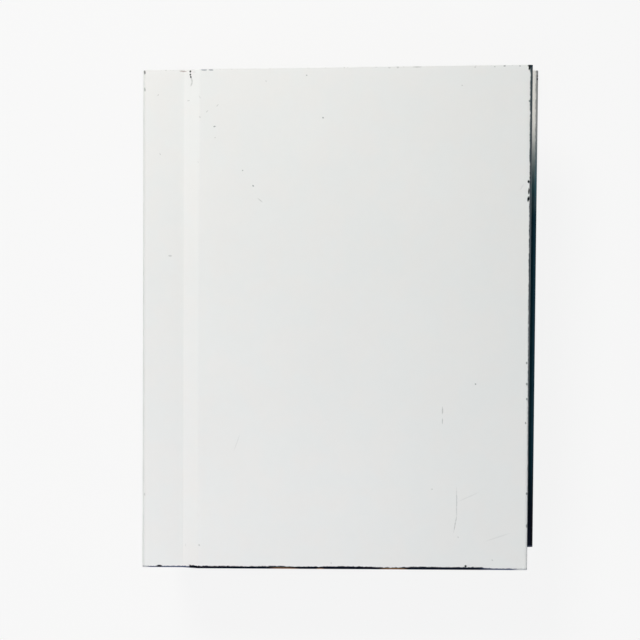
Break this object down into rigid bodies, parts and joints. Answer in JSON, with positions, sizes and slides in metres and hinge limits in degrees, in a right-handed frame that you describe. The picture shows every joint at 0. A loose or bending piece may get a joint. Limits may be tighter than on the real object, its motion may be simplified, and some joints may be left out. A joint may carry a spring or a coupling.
{
  "type": "cleanroom ceiling panel",
  "caption": "Cut piece of an insulated ceiling panel: white coated steel sheets on a mineral wool core, with a stepped tongue along one edge and an open groove along the other.",
  "frame": {"origin": "on the rear face, under the middle of the piece's bounding box", "axes": "+X across the panel from the tongue edge to the groove edge, +Y along the roll-formed edges, +Z out of the front face; the piece lies on its rear face"},
  "size_m": [0.186, 0.2424, 0.075],
  "materials": {
    "white_coated_steel": "satin white coil coating with a fine orange peel, small chips, specks and hairline scratches, and bare steel at the saw cuts",
    "mineral_wool": "matt, felted stone fibres, torn a little at the saw cuts"
  },
  "bodies": {
    "root": {"front_sheet": "white_coated_steel", "rear_sheet": "white_coated_steel", "core": "mineral_wool"}
  },
  "joints": []
}
